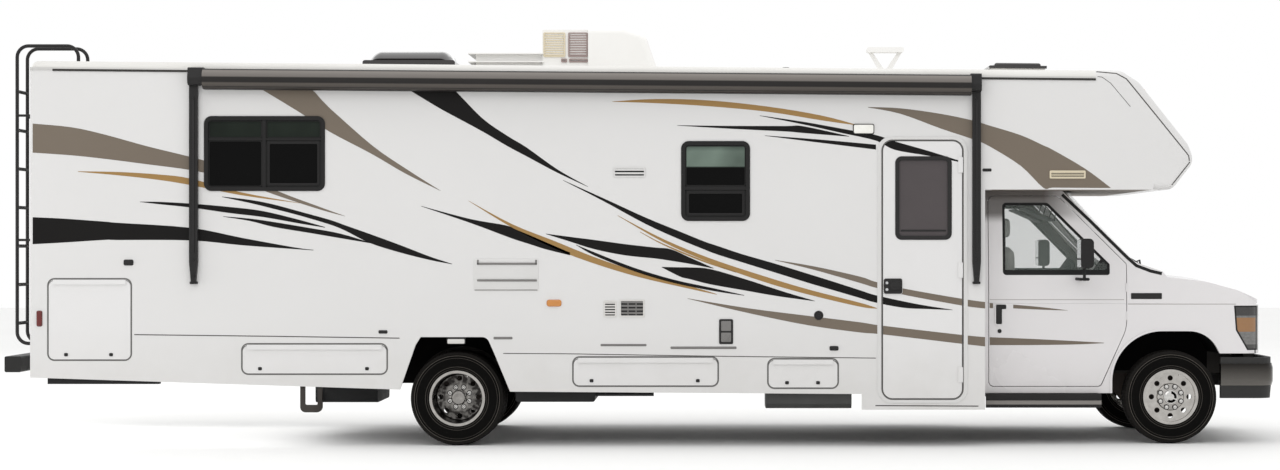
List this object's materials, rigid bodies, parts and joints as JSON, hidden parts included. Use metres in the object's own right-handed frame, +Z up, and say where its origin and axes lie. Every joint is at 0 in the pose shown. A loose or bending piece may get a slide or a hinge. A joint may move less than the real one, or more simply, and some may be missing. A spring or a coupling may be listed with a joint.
{
  "type": "motorhome",
  "caption": "Coach-built motorhome on a van cab: bunk over the cab, twin rear wheels, entry door, baggage doors, awning, ladder and roof gear, with opening doors and steering.",
  "frame": {"origin": "on the ground under the middle of the bounding box", "axes": "+X points forward, +Y to the driver's left side, +Z up"},
  "size_m": [10.074, 2.825, 3.3779],
  "materials": {
    "coach_shell": "satin gelcoat",
    "coach_door": "satin gelcoat",
    "roof_skin": "matte rubber membrane",
    "cab_paint": "gloss paint",
    "black_steel": "satin chassis black",
    "axle_iron": "rough cast",
    "tyre_rubber": "matte",
    "wheel_steel": "polished simulator",
    "floor_wood": "sealed plywood",
    "black_plastic": "moulded grain",
    "dark_glass": "tinted",
    "clear_glass": "clear",
    "lamp_lens": "clear lens",
    "white_plastic": "moulded",
    "bumper_chrome": "bright",
    "seat_fabric": "woven",
    "dash_plastic": "grained",
    "compartment": "moulded"
  },
  "bodies": {
    "coach": {"front_axle": "axle_iron", "rear_axle": "axle_iron", "engine_block": "axle_iron", "chassis_frame": "black_steel", "exhaust_pipe": "black_steel", "rear_bumper": "black_steel", "generator": "black_steel", "awning_arms": "black_steel", "awning_roller": "black_steel", "ladder": "black_steel", "tanks": "black_plastic", "window_frames": "black_plastic", "grille": "black_plastic", "running_boards": "black_plastic", "skylight": "black_plastic", "house_floor": "floor_wood", "bunk_and_bulkhead": "floor_wood", "right_side_wall": "coach_shell", "left_side_wall": "coach_shell", "skirts": "coach_shell", "rear_wall": "coach_shell", "front_cap": "coach_shell", "roof": "roof_skin", "storage_boxes": "compartment", "air_conditioner": "white_plastic", "tv_antenna": "white_plastic", "window_glass": "dark_glass", "windshield": "clear_glass", "cab_body": "cab_paint", "headlamps": "lamp_lens", "front_bumper": "bumper_chrome", "cab_seats": "seat_fabric", "dashboard": "dash_plastic"},
    "right_steer": {"right_steering_knuckle": "axle_iron"},
    "right_front_wheel": {"right_front_rim": "wheel_steel", "right_front_tyre": "tyre_rubber"},
    "right_rear_wheels": {"right_rear_rims": "wheel_steel", "right_rear_tyres": "tyre_rubber"},
    "left_steer": {"left_steering_knuckle": "axle_iron"},
    "left_front_wheel": {"left_front_rim": "wheel_steel", "left_front_tyre": "tyre_rubber"},
    "left_rear_wheels": {"left_rear_rims": "wheel_steel", "left_rear_tyres": "tyre_rubber"},
    "entry_door": {"entry_door": "coach_door", "entry_door_glass": "dark_glass"},
    "right_cab_door": {"right_cab_door": "cab_paint", "right_cab_door_glass": "clear_glass", "right_mirror": "black_plastic"},
    "right_trunk_door": {"right_trunk_door": "coach_door"},
    "right_long_door": {"right_long_door": "coach_door"},
    "left_cab_door": {"left_cab_door": "cab_paint", "left_cab_door_glass": "clear_glass", "left_mirror": "black_plastic"},
    "left_trunk_door": {"left_trunk_door": "coach_door"},
    "left_long_door": {"left_long_door": "coach_door"},
    "middle_door": {"middle_door": "coach_door"},
    "generator_door": {"generator_door": "coach_door"},
    "hood": {"hood": "cab_paint"},
    "roof_vent_lid": {"vent_lid": "white_plastic"}
  },
  "joints": [
    {"name": "right_steering", "type": "hinge", "parent": "coach", "child": "right_steer", "pos_m": [4.205, -0.74, 0.372], "axis": [0, 0, 1], "range_deg": [-33, 33]},
    {"name": "left_steering", "type": "hinge", "parent": "coach", "child": "left_steer", "pos_m": [4.205, 0.74, 0.372], "axis": [0, 0, 1], "range_deg": [-33, 33]},
    {"name": "right_front_spin", "type": "hinge", "parent": "right_steer", "child": "right_front_wheel", "pos_m": [4.205, -0.881, 0.372], "axis": [0, 1, 0], "continuous": true},
    {"name": "right_rear_spin", "type": "hinge", "parent": "coach", "child": "right_rear_wheels", "pos_m": [-1.459, -0.9655, 0.372], "axis": [0, 1, 0], "continuous": true},
    {"name": "left_front_spin", "type": "hinge", "parent": "left_steer", "child": "left_front_wheel", "pos_m": [4.205, 0.881, 0.372], "axis": [0, 1, 0], "continuous": true},
    {"name": "left_rear_spin", "type": "hinge", "parent": "coach", "child": "left_rear_wheels", "pos_m": [-1.459, 0.9655, 0.372], "axis": [0, 1, 0], "continuous": true},
    {"name": "entry_door_hinge", "type": "hinge", "parent": "coach", "child": "entry_door", "pos_m": [2.5135, -1.2963, 1.4], "axis": [0, 0, 1], "range_deg": [0, 95]},
    {"name": "right_cab_door_hinge", "type": "hinge", "parent": "coach", "child": "right_cab_door", "pos_m": [3.8472, -0.997, 1.2], "axis": [0, 0, 1], "range_deg": [0, 65]},
    {"name": "left_cab_door_hinge", "type": "hinge", "parent": "coach", "child": "left_cab_door", "pos_m": [3.8472, 0.997, 1.2], "axis": [0, 0, -1], "range_deg": [0, 65]},
    {"name": "right_trunk_hinge", "type": "hinge", "parent": "coach", "child": "right_trunk_door", "pos_m": [-4.33, -1.2963, 1.3045], "axis": [-1, 0, 0], "range_deg": [0, 95]},
    {"name": "right_long_hinge", "type": "hinge", "parent": "coach", "child": "right_long_door", "pos_m": [-2.566, -1.2963, 0.7945], "axis": [-1, 0, 0], "range_deg": [0, 95]},
    {"name": "left_trunk_hinge", "type": "hinge", "parent": "coach", "child": "left_trunk_door", "pos_m": [-4.33, 1.2963, 1.3045], "axis": [1, 0, 0], "range_deg": [0, 95]},
    {"name": "left_long_hinge", "type": "hinge", "parent": "coach", "child": "left_long_door", "pos_m": [-2.566, 1.2963, 0.7945], "axis": [1, 0, 0], "range_deg": [0, 95]},
    {"name": "middle_hinge", "type": "hinge", "parent": "coach", "child": "middle_door", "pos_m": [0.03, -1.2963, 0.6915], "axis": [-1, 0, 0], "range_deg": [0, 95]},
    {"name": "generator_hinge", "type": "hinge", "parent": "coach", "child": "generator_door", "pos_m": [1.264, -1.2963, 0.6775], "axis": [-1, 0, 0], "range_deg": [0, 95]},
    {"name": "hood_hinge", "type": "hinge", "parent": "coach", "child": "hood", "pos_m": [4.187, 0, 1.29897], "axis": [0, -1, 0], "range_deg": [0, 50]},
    {"name": "vent_lid_hinge", "type": "hinge", "parent": "coach", "child": "roof_vent_lid", "pos_m": [2.844, 0, 3.05581], "axis": [0, -1, 0], "range_deg": [0, 60]}
  ],
  "couplings": [
    {"joint": "left_steering", "follows": "right_steering", "ratio": 1}
  ]
}
